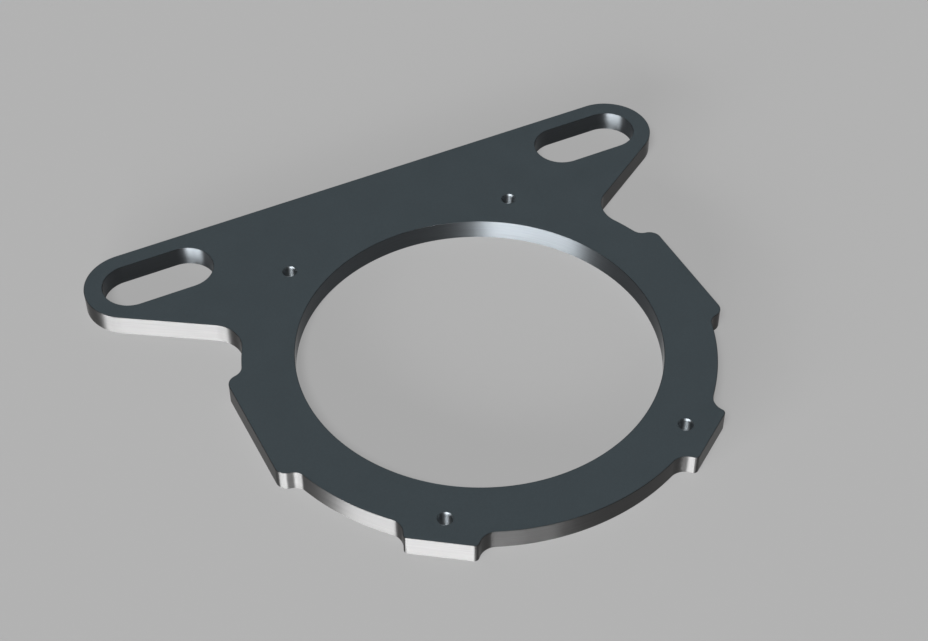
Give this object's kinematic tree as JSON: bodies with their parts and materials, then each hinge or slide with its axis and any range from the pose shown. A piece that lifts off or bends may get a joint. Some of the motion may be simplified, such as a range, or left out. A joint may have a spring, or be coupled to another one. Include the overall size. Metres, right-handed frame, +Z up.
{
  "type": "gauge relocation bracket",
  "caption": "Flat cut plate that holds a round gauge in its ring, with screw holes and flat tabs around the opening and spread arms that end in long bolt slots.",
  "frame": {"origin": "centre of the gauge opening, on the underside of the plate", "axes": "+X along the row of slots, +Y from the opening towards the arms, +Z up out of the upper face"},
  "size_m": [0.1438, 0.1138, 0.0048],
  "materials": {
    "plate": "dark slate matt faces with bare bright cut walls"
  },
  "bodies": {
    "root": {"bracket_plate": "plate"}
  },
  "joints": []
}
